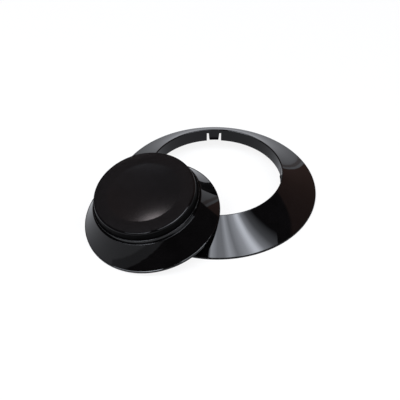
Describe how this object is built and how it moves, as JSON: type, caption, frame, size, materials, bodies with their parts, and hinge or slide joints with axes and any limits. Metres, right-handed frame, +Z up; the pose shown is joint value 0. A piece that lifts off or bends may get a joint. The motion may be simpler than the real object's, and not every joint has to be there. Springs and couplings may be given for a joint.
{
  "type": "sink-top push button with trim ring",
  "caption": "Round gloss black push button of a kitchen waste disposer, with a steep bezel and a dished cap, leaning on its separate conical trim ring.",
  "frame": {"origin": "middle of the trim ring, on the surface that it lies on", "axes": "+Z up, away from the surface; +X to the right and +Y away from the viewer as the two pieces are laid out"},
  "size_m": [0.0861, 0.085, 0.0251],
  "materials": {
    "gloss_black": "mirror-smooth moulded plastic",
    "step_black": "smooth moulded plastic",
    "satin_black": "satin moulded plastic",
    "nylon_black": "as-moulded nylon",
    "nylon_white": "natural acetal",
    "rubber_black": "matt",
    "rubber_grey": "matt moulded rubber",
    "spring_steel": "drawn wire",
    "screw_steel": "zinc plated",
    "brass": "turned"
  },
  "bodies": {
    "trim_ring": {"trim_ring": "gloss_black", "trim_ring_gasket": "rubber_black"},
    "button_unit": {"bezel": "gloss_black", "bezel_gasket": "rubber_black", "inner_housing": "step_black", "housing_seal": "rubber_black", "base_plate": "nylon_black", "base_seal": "rubber_black", "retaining_clip": "spring_steel", "hose_spigot": "brass", "spigot_seal": "rubber_black", "bellows": "rubber_grey", "bellows_clamp": "nylon_black", "clamp_screws": "screw_steel", "return_spring": "spring_steel"},
    "button": {"button_cap": "satin_black", "pusher": "nylon_white"}
  },
  "joints": [
    {"name": "button_unit_lift", "type": "slide", "parent": "trim_ring", "child": "button_unit", "axis": [0, 0, 1], "range_m": [0, 0.06]},
    {"name": "button_press", "type": "slide", "parent": "button_unit", "child": "button", "axis": [0.1825, 0.1738, -0.9677], "range_m": [0, 0.003], "stiffness_N_per_m": 1200, "springref_m": -0.002, "deforming": ["return_spring", "bellows"]}
  ]
}
